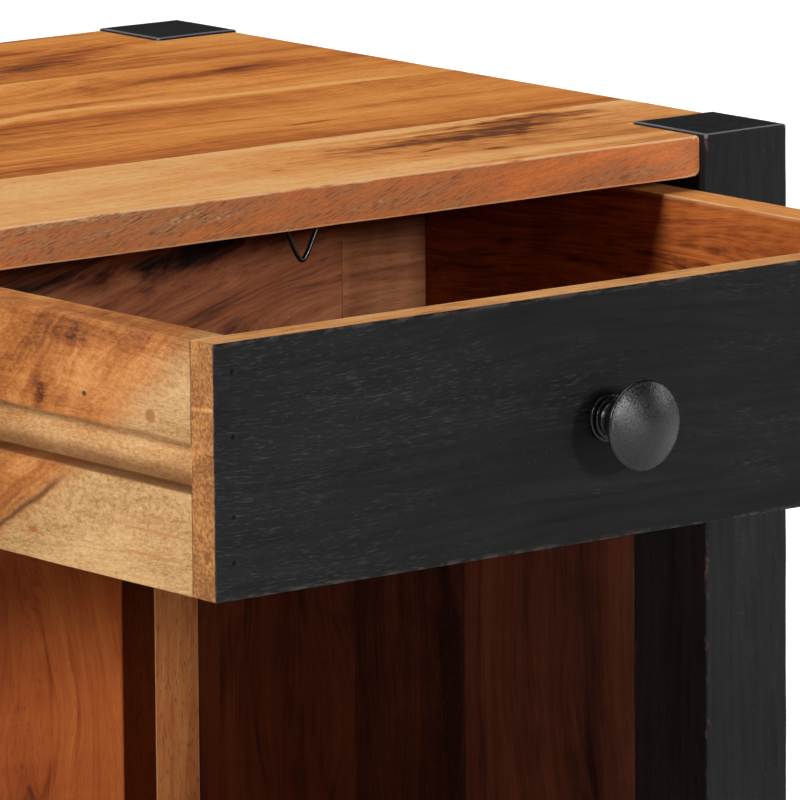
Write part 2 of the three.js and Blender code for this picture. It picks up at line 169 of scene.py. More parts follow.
# Makes a mesh from a grid of points, rows by columns: columns close on themselves and the first
# and last rows are closed by flat caps. Point attributes are given as name to array.
def gridMesh(name, grid, attributes):
    rows, columns = grid.shape[:2]
    row, column = np.meshgrid(np.arange(rows - 1), np.arange(columns), indexing="ij")
    following = (column + 1) % columns
    corners = [row * columns + column, row * columns + following,
               (row + 1) * columns + following, (row + 1) * columns + column]
    faces = np.stack(corners, axis=-1).reshape(-1, 4).tolist()
    faces.append(list(range(columns - 1, -1, -1)))
    faces.append(list(range((rows - 1) * columns, rows * columns)))
    mesh = bpy.data.meshes.new(name)
    mesh.from_pydata(grid.reshape(-1, 3), [], faces)
    for key, values in attributes.items():
        flat = np.ascontiguousarray(values, dtype=np.float32).ravel()
        isVector = values.ndim == 3
        layer = mesh.attributes.new(key, "FLOAT_VECTOR" if isVector else "FLOAT", "POINT")
        layer.data.foreach_set("vector" if isVector else "value", flat)
    mesh.validate()
    mesh.update()
    piece = bpy.data.objects.new(name, mesh)
    bpy.context.scene.collection.objects.link(piece)
    return piece


def shadeSmooth(piece, degrees):
    piece.data.polygons.foreach_set("use_smooth", [True] * len(piece.data.polygons))
    piece.data.set_sharp_from_angle(angle=math.radians(degrees))


# Stations along a board from low to high: close together round the two ends
def boardStations(low, high, arris, spacing):
    turn = np.linspace(0, math.pi / 2, 4)
    ends = arris * (1 - np.cos(turn))
    count = max(2, int((high - low) / spacing))
    inner = np.linspace(low + 3 * arris, high - 3 * arris, count)
    curve = arris * (1 - np.sin(turn))
    rim = 2.5 * arris  # flat ring between the rounded end and its cap
    stations = np.concatenate([[low], low + ends, inner, (high - ends)[::-1], [high]])
    insets = np.concatenate([[rim], curve, np.zeros(count), curve[::-1], [rim]])
    return stations, insets


corner = {"sharp": 0.12 * mm, "hollow": 0.25 * mm, "least": 0.08 * mm}  # radii of corners that aren't worn


# A board: a polygon section with each corner rounded by a parabola, carried along the board.
# The rounding swells and shrinks along the way, and the ends are rounded by insetting the section.
def boardGrid(axis, low, high, outline, look):
    arris = look["arris"]
    stations, insets = boardStations(low, high, arris, look.get("spacing", 5 * mm))
    notch = look.get("notch")
    if notch:
        # close stations where the section jumps from one width to the other
        steps = np.array([6, 5, 4.2, 3.4, 2.8, 2.2, 1.6, 1.2, 0.8, 0.4, 0.05, 0]) * mm
        for place, extra in ((notch["low"], steps[::-1]), (notch["high"], -steps)):
            at = np.searchsorted(stations, place)
            stations = np.insert(stations, at, place + extra)
            insets = np.insert(insets, at, np.zeros(len(steps)))
        order = np.argsort(stations, kind="stable")
        stations = stations[order]
        insets = insets[order]
        isCut = (stations <= notch["low"] + 0.01 * mm) | (stations >= notch["high"] - 0.01 * mm)
    corners = np.repeat(np.array(outline, float)[None], len(stations), axis=0)
    if notch:
        onEdge = np.isclose(np.array(outline)[:, 0], notch["edge"])
        corners[:, onEdge, 0] = np.where(isCut, notch["side"], notch["edge"])[:, None]
    before = np.roll(corners, 1, axis=1) - corners
    after = np.roll(corners, -1, axis=1) - corners
    before /= np.linalg.norm(before, axis=2)[:, :, None]
    after /= np.linalg.norm(after, axis=2)[:, :, None]
    convex = np.sign(-(before[..., 0] * after[..., 1] - before[..., 1] * after[..., 0]))
    corners = corners + (before + after) * (insets[:, None] * convex)[:, :, None]

    count = corners.shape[1]
    radius = np.full((len(stations), count), arris)
    for index in range(count):
        along = np.stack([stations, np.full_like(stations, index * 0.31), np.zeros_like(stations)], axis=1)
        radius[:, index] *= 1 + look.get("uneven", 0.35) * waviness(along, 0.05, look["seed"] + index)
    for place, size, width, index in look.get("nicks", []):
        radius[:, index] += size * np.exp(-(((stations - place) / width) ** 2))
    radius[:, look.get("sharp", [])] = corner["sharp"]
    radius = np.where(convex > 0, np.maximum(radius, corner["sharp"]), corner["hollow"])
    radius = np.maximum(radius - insets[:, None] * 0.6, corner["least"])

    arcSteps = np.linspace(0, 1, 5)
    bend = arcSteps[None, None, :, None]
    start = (corners + before * radius[..., None])[:, :, None]
    stop = (corners + after * radius[..., None])[:, :, None]
    arc = (1 - bend) ** 2 * start + 2 * bend * (1 - bend) * corners[:, :, None] + bend**2 * stop
    edgeSteps = 0.5 - 0.5 * np.cos(np.linspace(0, math.pi, 14))[1:-1]
    nextStart = np.roll(start, -1, axis=1)
    edge = stop + (nextStart - stop) * edgeSteps[None, None, :, None]
    loop = np.concatenate([arc, edge], axis=2).reshape(len(stations), -1, 2)
    wear = np.zeros((len(stations), count, len(arcSteps) + len(edgeSteps)))
    wear[:, :, :len(arcSteps)] = 1
    wear[:, look.get("sharp", [])] = 0
    wear = wear.reshape(len(stations), -1)
    wear[1:3] = 1
    wear[-3:-1] = 1
    wear[[0, -1]] = 0

    grid = np.zeros((*loop.shape[:2], 3))
    grid[..., axis] = stations[:, None]
    grid[..., (axis + 1) % 3] = loop[..., 0]
    grid[..., (axis + 2) % 3] = loop[..., 1]
    return grid, wear


# Lays the grain on a board: its points as along, across and through it, from the board's middle
def grainOf(grid, grainAxis, throughAxis):
    acrossAxis = 3 - grainAxis - throughAxis
    flat = grid.reshape(-1, 3)
    middle = (flat.min(axis=0) + flat.max(axis=0)) / 2
    local = grid - middle
    return np.stack([local[..., grainAxis], local[..., acrossAxis], local[..., throughAxis]], axis=-1)


# A box's section across an axis: its four corners, anticlockwise as seen from the axis's end
def rectangle(low, high, axis):
    b, c = (axis + 1) % 3, (axis + 2) % 3
    return [(low[b], low[c]), (high[b], low[c]), (high[b], high[c]), (low[b], high[c])]


# Puts a board in place of a CAD node, filling the same box
def layBoard(node, body, material, look, outline=None):
    low, high = (np.array(corner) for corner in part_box(node))
    axis = look["axis"]
    outline = outline or rectangle(low, high, axis)
    grid, wear = boardGrid(axis, low[axis], high[axis], outline, look)
    grain = grainOf(grid, axis, int(np.argmin(high - low)))
    wave = look.get("wave", 0.06 * mm)
    shift = [waviness(grid, 0.045, look["seed"] + 40 + k) * wave for k in range(3)]
    grid = grid + np.stack(shift, axis=-1)
    piece = gridMesh(node + "_made", grid, {"grain": grain, "edge": wear})
    shadeSmooth(piece, 40)
    piece.data.materials.append(material)
    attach(piece, body)
    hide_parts(node)
    return piece


# A turned piece: a profile of [radius, distance] points spun round a direction from a place
def turnPiece(name, node, body, profile, place, direction, material, steps=72):
    profile = np.array(profile, float)
    angle = np.linspace(0, 2 * math.pi, steps, endpoint=False)
    forward = np.array(direction, float)
    right = np.cross(forward, [0, 0, 1.0]) if abs(forward[2]) < 0.9 else np.array([1.0, 0, 0])
    right /= np.linalg.norm(right)
    up = np.cross(forward, right)
    spoke = np.cos(angle)[:, None] * right + np.sin(angle)[:, None] * up
    grid = np.array(place) + profile[:, None, 1:] * forward + profile[:, None, :1] * spoke[None]
    piece = gridMesh(name, grid, {})
    shadeSmooth(piece, 35)
    piece.data.materials.append(material)
    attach(piece, body)
    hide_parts(node)
    return piece


# A board's wood while its nodes are put together. The grain attribute is bent by slow noise, so
# every line drawn on it swerves; "swerve" is how far the lines wander, in metres.
class Wood(Paint):
    def __init__(self, name, seed, swerve=0.012, lean=0.0):
        super().__init__(name)
        grain = self.add("ShaderNodeAttribute", {"attribute_name": "grain"}, None, 1)
        self.edge = self.add("ShaderNodeAttribute", {"attribute_name": "edge"}, None, 2)
        self.along, self.across, self.through = self.split(grain)
        self.field = self.vector("ADD", grain, (seed * 1.37, seed * 0.71, seed * 0.23))
        slow = self.stretched(5, 17, 17, 1)
        slight = self.stretched(14, 60, 60, 1)
        self.bend = (slow - 0.5) * (swerve * 4) + (slight - 0.5) * (swerve * 0.7)
        swing = self.combine(0, self.bend + self.along * lean, self.bend * 0.6)
        self.field = self.vector("ADD", self.field, swing)

    # noise drawn out along the grain: scales along, across and through, in waves per metre
    def stretched(self, a, b, c, detail=2.0, rough=0.5):
        return self.noise(self.vector("MULTIPLY", self.field, (a, b, c)), detail, rough)

    # soft oval leaning by "lean" across per metre along: 1 in its middle, 0 outside
    def oval(self, place, size, lean=0.0, ragged=0.8, firm=0.1):
        a = (self.along - place[0]) / size[0]
        b = (self.across - place[1] - (self.along - place[0]) * lean) / size[1]
        fray = self.stretched(90, 260, 260, 2, 0.6) - 0.5
        reach = (a * a + b * b) ** 0.5 + fray * ragged * 2
        return 1 - self.step(reach, firm, 1.9 - firm)

    # soft band lying along the board
    def band(self, place, half):
        off = abs(self.across + self.bend - place)
        return 1 - self.step(off, half * 0.5, half * 1.5)


# How much of each kind of line a board shows unless its own dictionary says otherwise
plainWood = {"broad": 1.0, "lines": 0.75, "flames": 0.35, "fibre": 0.55, "shimmer": 0.22, "tone": 0.42,
             "pores": 0.5, "poreTone": (0.10, 0.035, 0.014), "edgePale": 0.5, "edgeTone": (0.66, 0.40, 0.19),
             "rough": 0.5, "bump": 0.25, "marks": [], "bands": []}


# Oiled acacia: broad tone bands, wandering lines, dark flames, fine fibres, shimmer and pores
def acacia(name, own, extra=None):
    look = {**plainWood, **own}
    wood = Wood(name, look["seed"], look.get("swerve", 0.012), look.get("lean", 0.0))
    broad = wood.stretched(2.4, 19, 19, 2, 0.55)
    lines = wood.stretched(4.2, 105, 105, 3, 0.62)
    flames = wood.step(wood.stretched(6.5, 62, 62, 3, 0.55), 0.57, 0.70)
    fibre = wood.stretched(24, 640, 640, 3, 0.65)
    shimmer = wood.stretched(75, 20, 20, 2, 0.5)
    tone = (look["tone"] + (broad - 0.5) * look["broad"] + (lines - 0.5) * look["lines"]
            + flames * look["flames"] + (fibre - 0.5) * look["fibre"] + (shimmer - 0.5) * look["shimmer"])
    for place, half, power in look["bands"]:
        tone = tone + wood.band(place, half) * power
    streaky = lines * 1.6 + fibre * 0.9 - 0.35
    for place, size, lean, power in look["marks"]:
        tone = tone + wood.oval(place, size, lean) * streaky * power
    if extra:
        tone = extra(wood, tone)
    colour = wood.ramp(tone, look["ramp"])
    pores = wood.step(wood.stretched(170, 2100, 2100, 1, 0.5), 0.60, 0.72)
    colour = wood.mix(pores * look["pores"], colour, (*look["poreTone"], 1))
    if look.get("face"):
        colour = look["face"](wood, colour, fibre)
    scuffed = wood.step(wood.stretched(45, 140, 140, 3, 0.6), 0.30, 0.50)
    colour = wood.mix(wood.edge * scuffed * look["edgePale"], colour, (*look["edgeTone"], 1))
    normal = wood.bump(fibre * 0.6 + lines * 0.3 - pores, look["bump"], 0.0006)
    rough = look["rough"] + (broad - 0.5) * 0.18 + (fibre - 0.5) * 0.2 + pores * 0.15
    return wood.finish(Base_Color=colour, Roughness=rough, Normal=normal, Specular_IOR_Level=0.16)


# Black paint over open grain: the pale dashes along the pores are painted glints, light caught by the pores,
# more of them towards one end, and the paint is rubbed thin along the arrises. "bare" gives where the wood
# was left unpainted, "pits" the places of filled holes, darkened by painted shade, and "tip" the height above
# which the arrises are worn to grey.
def blackPaint(name, look):
    wood = Wood(name, look["seed"], look.get("swerve", 0.006))
    cloud = wood.stretched(10, 34, 34, 3, 0.6)
    dash = wood.stretched(190, 1500, 1500, 2, 0.62)
    brushed = wood.stretched(16, 330, 330, 3, 0.6)
    speck = wood.stretched(700, 700, 700, 0, 0.5)
    # painted glints: pale dashes where light catches the pores, denser towards one end
    poreGlint = wood.step(dash, 0.52, 0.72) * wood.step(cloud - wood.along * 0.4, 0.40, 0.66)
    shade = look["shade"] * (1 + (cloud - 0.5) * 0.9 + (brushed - 0.5) * 1.2)
    shade = shade + poreGlint * look["dashes"] + wood.step(speck, 0.80, 0.86) * 0.012
    colour = wood.mix(shade, (0, 0, 0, 1), (0.99, 1.0, 1.02, 1))
    worn = wood.stretched(110, 300, 300, 3, 0.7)
    rubbed = wood.edge * wood.step(worn, look["rubFrom"], look["rubFrom"] + 0.14)
    colour = wood.mix(rubbed * look["rub"], colour, (*look["rubTone"], 1))
    if look.get("tip"):
        tip = wood.edge * wood.step(wood.along, look["tip"] - 2 * mm, look["tip"] - 1 * mm)
        colour = wood.mix(tip * 0.8, colour, (0.16, 0.155, 0.165, 1))
    rough = look["rough"] + (cloud - 0.5) * 0.2 + poreGlint * 0.1 + (brushed - 0.5) * 0.12
    height = brushed * 0.5 + dash * 0.8
    for along, across in look.get("pits", []):
        a = wood.along - along
        b = wood.across - across
        reach = (a * a + b * b) ** 0.5
        pit = 1 - wood.step(reach, 0.4 * mm, 1.3 * mm)
        # painted shade: each filled hole's dimple is darkened to near black
        colour = wood.mix(pit, colour, (0.002, 0.002, 0.002, 1))
        ring = wood.step(reach, 1.0 * mm, 1.6 * mm) * (1 - wood.step(reach, 1.6 * mm, 2.4 * mm))
        height = height - pit * 4 + ring * 0.8
    if look.get("bare"):
        colour, bareMask = look["bare"](wood, colour)
        rough = rough + bareMask * 0.2
    normal = wood.bump(height, look["bump"], 0.0005)
    return wood.finish(Base_Color=colour, Roughness=rough, Normal=normal, Specular_IOR_Level=0.05)


print("tabletop")
body = "carcase"
drawer = "drawer"
honeyRamp = [(0.05, (0.72, 0.345, 0.100)), (0.40, (0.60, 0.210, 0.040)), (0.68, (0.36, 0.095, 0.016)),
             (1.0, (0.10, 0.022, 0.006))]
paleRamp = [(0.05, (0.73, 0.395, 0.150)), (0.40, (0.62, 0.245, 0.062)), (0.68, (0.36, 0.115, 0.026)),
            (1.0, (0.115, 0.032, 0.010))]


edgeRamp = [(0.1, (0.72, 0.190, 0.034)), (0.45, (0.50, 0.145, 0.042)), (0.75, (0.42, 0.175, 0.074)),
            (1.0, (0.66, 0.400, 0.210))]


# The front edge face of the tabletop: redder, with coarse short pores that slant upwards
def edgeFace(wood, colour, fibre):
    low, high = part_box("top_board_1")
    face = -(high[1] - low[1]) / 2
    onFace = 1 - wood.step(wood.across, face + 0.35 * mm, face + 0.9 * mm)
    slant = wood.combine(wood.along * 130, wood.along * 520 - wood.through * 1500, 4.0)
    strokes = wood.step(wood.noise(slant, 2, 0.65), 0.52, 0.68)
    fineSlant = wood.combine(wood.along * 260, wood.along * 700 - wood.through * 2600, 9.0)
    fineStrokes = wood.step(wood.noise(fineSlant, 2, 0.65), 0.50, 0.64)
    cloud = wood.noise(wood.combine(wood.along * 15, wood.through * 55 - wood.along * 8, 3.0), 3, 0.6)
    lines = wood.noise(wood.combine(wood.along * 22, wood.through * 420 - wood.along * 60, 7.0), 3, 0.65)
    grit = wood.noise(wood.combine(wood.along * 420, wood.through * 900, 2.0), 3, 0.7)
    tone = 0.5 + (cloud - 0.5) * 1.5 + (lines - 0.5) * 1.1 + (grit - 0.5) * 1.2 + wood.along * -0.6
    warm = wood.ramp(tone, edgeRamp)
    paled = wood.mix(onFace * 0.85, colour, warm)
    dense = wood.step(cloud - wood.along * 0.5, 0.32, 0.62)
    paled = wood.mix(onFace * fineStrokes * dense * 0.5, paled, (0.085, 0.040, 0.026, 1))
    return wood.mix(onFace * strokes * (0.25 + dense * 0.5), paled, (0.060, 0.030, 0.022, 1))


# bands are (across, half width, power), marks are ((along, across), (size), lean, power)
topShared = {"ramp": honeyRamp, "edgePale": 0.7, "edgeTone": (0.74, 0.46, 0.23), "pores": 0.4}
topLooks = {
    "top_board_1": {
        "seed": 3.4, "tone": 0.22, "broad": 0.8, "flames": 0.10, "swerve": 0.010, "face": edgeFace,
        "ramp": paleRamp, "bands": [(0.041, 5 * mm, -0.20), (-0.036, 6 * mm, -0.12)],
        "marks": [((0.140, 0.026), (0.050, 0.013), 0.22, 0.22), ((0.128, 0.017), (0.022, 0.007), 0.75, 0.16),
                  ((0.146, 0.020), (0.016, 0.004), 1.0, 0.22), ((0.110, 0.012), (0.014, 0.004), 0.9, 0.20),
                  ((0.172, 0.036), (0.034, 0.009), 0.15, 0.30), ((0.095, 0.014), (0.055, 0.010), 0.10, 0.22),
                  ((0.05, 0.030), (0.10, 0.006), 0.05, 0.14), ((0.17, -0.01), (0.10, 0.07), 0, 0.34),
                  ((0.070, 0.012), (0.010, 0.0010), 0.15, 0.7), ((0.078, -0.006), (0.006, 0.0010), 0.2, 0.6),
                  ((0.002, -0.006), (0.004, 0.0010), 0.1, 0.5), ((0.10, -0.018), (0.005, 0.003), 0, 0.3),
                  ((-0.16, 0.0), (0.07, 0.03), 0, -0.12)]},
    "top_board_2": {
        "seed": 5.9, "tone": 0.43, "broad": 0.75, "flames": 0.10, "lines": 0.55,
        "bands": [(-0.052, 5 * mm, 0.14)],
        "marks": [((0.088, -0.020), (0.014, 0.0014), 0.05, 0.5), ((0.02, 0.030), (0.010, 0.0015), 0, 0.35),
                  ((-0.13, 0.0), (0.11, 0.06), 0, 0.26)]},
    "top_board_3": {
        "seed": 8.2, "tone": 0.36, "broad": 1.1, "flames": 0.28, "swerve": 0.018,
        "bands": [(-0.041, 5 * mm, -0.26), (0.042, 6 * mm, -0.2)],
        "marks": [((-0.02, -0.012), (0.024, 0.003), 0.05, 0.4), ((0.12, 0.012), (0.07, 0.008), 0.05, 0.12),
                  ((0.035, -0.022), (0.045, 0.004), 0.08, 0.35),
                  ((0.160, 0.020), (0.020, 0.005), 0.2, 0.22)]},
    "top_board_4": {
        "seed": 12.1, "tone": 0.44, "broad": 1.0, "flames": 0.28, "bands": [(-0.046, 9 * mm, 0.18)],
        "marks": [((0.090, -0.018), (0.050, 0.012), 0.30, 0.26), ((0.140, 0.004), (0.040, 0.010), 0.35, 0.24),
                  ((0.050, -0.032), (0.060, 0.006), 0.15, 0.26), ((-0.12, 0.01), (0.05, 0.008), 0.2, 0.3)]},
}
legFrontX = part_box("leg_front_right")[0][0]
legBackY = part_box("leg_back_right")[0][1]
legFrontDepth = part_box("leg_front_right")[1][1]
glueGap = 0.3 * mm
for index, (node, look) in enumerate(topLooks.items()):
    low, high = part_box(node)
    joints = {"top_board_1": [1, 2], "top_board_4": [0, 3]}.get(node, [0, 1, 2, 3])
    shape = {"axis": axisX, "arris": 0.6 * mm, "seed": 11 * index, "sharp": joints}
    edgeX = legFrontX - glueGap
    if index == 0:
        shape["notch"] = {"low": -edgeX, "high": edgeX, "side": legFrontDepth + glueGap, "edge": low[1]}
        # each nick: its place, depth and width, and the corner of the section that it is in
        shape["nicks"] = [(edgeX, 3.0 * mm, 1.6 * mm, 0), (edgeX, 1.8 * mm, 1.0 * mm, 3),
                          (edgeX - 3.2 * mm, 1.3 * mm, 0.7 * mm, 0),
                          (edgeX - 2.8 * mm, 0.9 * mm, 0.6 * mm, 3),
                          (edgeX - 5.2 * mm, 0.7 * mm, 0.5 * mm, 0),
                          (-edgeX, 1.6 * mm, 2.0 * mm, 0), (-edgeX, 1.2 * mm, 1.5 * mm, 3),
                          (-0.071, 0.8 * mm, 2.2 * mm, 3), (0.012, 0.6 * mm, 1.6 * mm, 3)]
    if index == 3:
        shape["notch"] = {"low": -edgeX, "high": edgeX, "side": legBackY - glueGap, "edge": high[1]}
    layBoard(node, body, acacia(node + "_wood", {**topShared, **look}), shape)

print("legs")
legLook = {"shade": 0.0150, "dashes": 0.012, "rough": 0.5, "bump": 0.35,
           "rub": 0.8, "rubFrom": 0.52, "rubTone": (0.105, 0.062, 0.048),
           "tip": (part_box("leg_front_right")[1][2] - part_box("leg_front_right")[0][2]) / 2}
for index, node in enumerate(["leg_front_left", "leg_front_right", "leg_back_left", "leg_back_right"]):
    shape = {"axis": axisZ, "arris": 0.9 * mm, "seed": 100 + 9 * index, "wave": 0.10 * mm, "uneven": 0.5}
    layBoard(node, body, blackPaint(node + "_paint", {"seed": 20.3 + index, **legLook}), shape)

print("walls and shelf")
backRamp = [(0.05, (0.56, 0.155, 0.035)), (0.45, (0.38, 0.082, 0.015)), (0.72, (0.20, 0.038, 0.008)),
            (1.0, (0.06, 0.015, 0.006))]
# painted shade: a much darker copy of the wood for the right side's boards, whose inner faces sit in shade;
# partly their own darker tone
shadedSideRamp = [(0.05, (0.20, 0.072, 0.036)), (0.45, (0.112, 0.037, 0.021)), (0.72, (0.055, 0.018, 0.012)),
            (1.0, (0.014, 0.006, 0.006))]
battenRamp = [(0.05, (0.48, 0.19, 0.060)), (0.45, (0.35, 0.105, 0.028)), (0.72, (0.20, 0.055, 0.015)),
              (1.0, (0.08, 0.026, 0.011))]


# painted shade: the batten's faces that look towards -X are darkened, as if in shadow
def paintedShadeOnLeftFaces(wood, colour, fibre):
    outward = wood.add("ShaderNodeNewGeometry", None, None, 1)
    facing = wood.split(outward)[0]
    return wood.mix(wood.step(facing * -1, 0.5, 0.9) * 0.72, colour, (0.035, 0.010, 0.004, 1))


wallLooks = {
    "back_board_1": {"ramp": backRamp, "tone": 0.40}, "back_board_2": {"ramp": backRamp, "tone": 0.46},
    "back_board_3": {"ramp": backRamp, "tone": 0.38, "broad": 1.1, "swerve": 0.03, "lines": 0.5},
    "side_board_right_1": {"ramp": shadedSideRamp, "tone": 0.44, "lines": 1.0},
    "side_board_right_2": {"ramp": shadedSideRamp, "tone": 0.82},
    "side_board_right_3": {"ramp": shadedSideRamp, "tone": 0.42, "broad": 1.4},
    "side_board_left_1": {"ramp": honeyRamp, "tone": 0.5},
    "side_board_left_2": {"ramp": honeyRamp, "tone": 0.62},
    "side_board_left_3": {"ramp": honeyRamp, "tone": 0.45},
    "corner_batten_left": {"ramp": battenRamp, "fibre": 0.9, "pores": 0.9},
    "corner_batten_right": {"ramp": battenRamp, "tone": 0.36, "fibre": 0.9, "pores": 0.9, "face": paintedShadeOnLeftFaces},
}
for index, (node, look) in enumerate(wallLooks.items()):
    shape = {"axis": axisZ, "arris": 0.25 * mm, "seed": 200 + 9 * index, "wave": 0.03 * mm}
    if "board" in node:
        shape["sharp"] = [0, 1, 2, 3]
    layBoard(node, body, acacia(node + "_wood", {"seed": 31.7 + index, **look}), shape)
for index, node in enumerate(["shelf_board_1", "shelf_board_2", "shelf_board_3"]):
    shape = {"axis": axisX, "arris": 0.9 * mm, "seed": 300 + 9 * index}
    look = {"seed": 51.2 + index, "ramp": honeyRamp, "tone": 0.5}
    layBoard(node, body, acacia(node + "_wood", look), shape)
for index, node in enumerate(["shelf_cleat_left", "shelf_cleat_right", "runner_left", "runner_right"]):
    shape = {"axis": axisY, "arris": 0.7 * mm, "seed": 330 + 9 * index}
    layBoard(node, body, acacia(node + "_wood", {"seed": 61.2 + index, "ramp": battenRamp}), shape)

print("drawer")
frontLow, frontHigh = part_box("drawer_front")
frontMiddle = [(a + b) / 2 for a, b in zip(frontLow, frontHigh)]
nailHeights = sorted({round((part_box(node)[0][2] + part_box(node)[1][2]) / 2, 4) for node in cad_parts
                      if node.startswith("front_nail")})
nailAside = (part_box("front_nail_right_1")[0][0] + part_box("front_nail_right_1")[1][0]) / 2
bareRamp = [(0.10, (0.62, 0.33, 0.130)), (0.5, (0.46, 0.205, 0.068)), (0.9, (0.20, 0.080, 0.027))]
endMarks = {"line": (22.5 * mm, 1.1 * mm), "spot": (-31 * mm, 2.5 * mm), "crack": 6 * mm}


# Bare wood everywhere but on the front's face, with a ragged line where the paint stops. On the
# ends, across is the height: a warm line, a small crack and a dark rough spot.
def bareBehindFace(wood, colour):
    half = (frontHigh[1] - frontLow[1]) / 2
    side = (frontHigh[0] - frontLow[0]) / 2
    ragged = wood.noise(wood.vector("MULTIPLY", wood.field, (260, 260, 260)), 3, 0.6)
    away = wood.through + half + (ragged - 0.5) * 1.1 * mm
    mask = wood.step(away, 0.45 * mm, 0.75 * mm)
    fibre = wood.stretched(26, 700, 700, 3, 0.65)
    blotch = wood.stretched(30, 60, 60, 3, 0.55)
    grit = wood.stretched(380, 900, 900, 2, 0.7)
    tone = 0.42 + (fibre - 0.5) * 1.2 + (blotch - 0.5) * 0.9 + (grit - 0.5) * 0.45
    ends = wood.step(abs(wood.along), side - 1.2 * mm, side - 0.6 * mm)
    tone = tone + ends * 0.34
    wobble = (blotch - 0.5) * 3 * mm
    line = abs(wood.across - endMarks["line"][0] + wobble)
    tone = tone - ends * (1 - wood.step(line, 0.3 * mm, endMarks["line"][1])) * 0.35
    spot = (wood.across - endMarks["spot"][0]) ** 2 + (wood.through + 2 * mm) ** 2
    tone = tone + ends * (1 - wood.step(spot ** 0.5, 0.4 * mm, endMarks["spot"][1])) * (ragged * 1.6)
    crack = abs(wood.across - endMarks["crack"] + wobble * 1.6)
    split = ends * (1 - wood.step(crack, 0.1 * mm, 0.5 * mm))
    tone = tone + split * wood.step(-1 * wood.through, 0, 4 * mm) * 0.8
    bare = wood.ramp(tone, bareRamp)
    seam = wood.step(away, 0.1 * mm, 0.4 * mm) * (1 - wood.step(away, 0.7 * mm, 1.3 * mm))
    bare = wood.mix(seam * 0.5, bare, (0.16, 0.055, 0.02, 1))
    return wood.mix(mask, colour, bare), mask


frontShape = {"axis": axisX, "arris": 0.5 * mm, "seed": 400, "wave": 0.06 * mm, "spacing": 4 * mm}
frontLook = {"seed": 71.6, "shade": 0.0112, "dashes": 0.022, "rough": 0.46, "bump": 0.4,
             "rub": 0.4, "rubFrom": 0.46, "rubTone": (0.10, 0.085, 0.075), "bare": bareBehindFace}
frontLook["pits"] = [(side * nailAside, height - frontMiddle[2])
                     for side in (-1, 1) for height in nailHeights]
layBoard("drawer_front", drawer, blackPaint("front_paint", frontLook), frontShape)


sapRamp = [(0.1, (0.60, 0.375, 0.172)), (0.5, (0.46, 0.262, 0.106)), (0.9, (0.28, 0.135, 0.048))]
sawnRamp = [(0.1, (0.74, 0.47, 0.22)), (0.5, (0.58, 0.29, 0.105)), (0.9, (0.32, 0.13, 0.045))]


# Pale sapwood and warm heartwood in one board. "off" is how far a point lies past the curved line
# between them, and the heartwood's own lines follow that curve.
def sapAndHeart(name, own):
    look = {**plainWood, **own}
    wood = Wood(name, look["seed"], 0.010)
    wobble = wood.stretched(16, 34, 34, 2, 0.5) - 0.5
    off = wood.along - look["start"] + wood.across * look["slope"] - wood.across ** 2 * 6.0 + wobble * 0.04
    fibre = wood.stretched(30, 560, 560, 3, 0.65)
    dashes = wood.step(wood.stretched(300, 1500, 1500, 2, 0.6), 0.53, 0.68)
    grit = wood.stretched(420, 900, 900, 2, 0.7)
    cloud = wood.stretched(14, 40, 40, 3, 0.6)
    arcs = wood.noise(wood.combine(off * 70, wood.across * 9, wood.through * 30), 3, 0.6)
    fine = wood.noise(wood.combine(off * 420, wood.across * 40, wood.through * 90), 2, 0.6)
    heart = wood.step(off + wood.across.most(0.0) * 0.25, -0.014, 0.018)
    sapTone = 0.50 + (cloud - 0.5) * 1.2 + (fibre - 0.5) * 0.55 + (grit - 0.5) * 1.3
    sap = wood.ramp(sapTone, sapRamp)
    heartTone = (look["tone"] + (arcs - 0.5) * 1.1 + (fine - 0.5) * 0.5 + (cloud - 0.5) * 1.3
                 + (fibre - 0.5) * 0.5 + (grit - 0.5) * 0.75)
    for place, size, lean, power in look["marks"]:
        heartTone = heartTone + wood.oval(place, size, lean) * power
    heartWood = wood.ramp(heartTone, look["ramp"])
    colour = wood.mix(heart, sap, heartWood)
    rim = wood.step(off, 0.000, 0.004) * (1 - wood.step(off, 0.004, 0.009)) * look["rim"](wood)
    colour = wood.mix(rim * 0.85, colour, (0.10, 0.035, 0.014, 1))
    colour = wood.mix(dashes * wood.step(cloud, 0.35, 0.6) * 0.5, colour, (0.20, 0.105, 0.045, 1))
    for place, size, tint, power in look["knots"]:
        colour = wood.mix(wood.oval(place, size, 0.0, 0.10, 0.75) * power, colour, (*tint, 1))
    # the groove's floor was left rough and paler by the saw
    foot, head = look["groove"]
    inGroove = wood.step(wood.across, foot, foot + 1 * mm) * (1 - wood.step(wood.across, head - 1 * mm, head))
    inGroove = inGroove * (1 - wood.step(abs(wood.through), 3 * mm, 5 * mm))
    sawn = wood.ramp(0.45 + (cloud - 0.5) * 1.2 + (fibre - 0.5) * 0.5 + (grit - 0.5) * 1.2, sawnRamp)
    colour = wood.mix(inGroove * 0.8, colour, sawn)
    shadow = 1 - wood.step(wood.across, foot + 2 * mm, foot + 8 * mm + (cloud - 0.5) * 4 * mm)
    colour = wood.mix(inGroove * shadow * 0.62, colour, (0.16, 0.062, 0.022, 1))
    # painted shade: a dark line along the groove's lower ledge
    ledgeShade = 1 - wood.step(abs(wood.across - foot), 0.25 * mm, 0.6 * mm)
    colour = wood.mix(ledgeShade * (0.5 + cloud * 0.5), colour, (0.085, 0.030, 0.011, 1))
    colour = wood.mix(wood.edge * wood.step(cloud, 0.35, 0.6) * 0.6, colour, (0.26, 0.110, 0.040, 1))
    normal = wood.bump(fibre * 0.6 - dashes * 0.8 + cloud * 0.3, 0.3, 0.0006)
    rough = 0.62 + (fibre - 0.5) * 0.2
    return wood.finish(Base_Color=colour, Roughness=rough, Normal=normal, Specular_IOR_Level=0.14)


grooveLook = {"deep": 9 * mm, "play": 0.5 * mm}  # play is the room over and under the runner


# heights of the groove's lower and upper edges: the runner with some play
def grooveEdges():
    low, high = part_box("runner_left")
    return low[2] - grooveLook["play"], high[2] + grooveLook["play"]


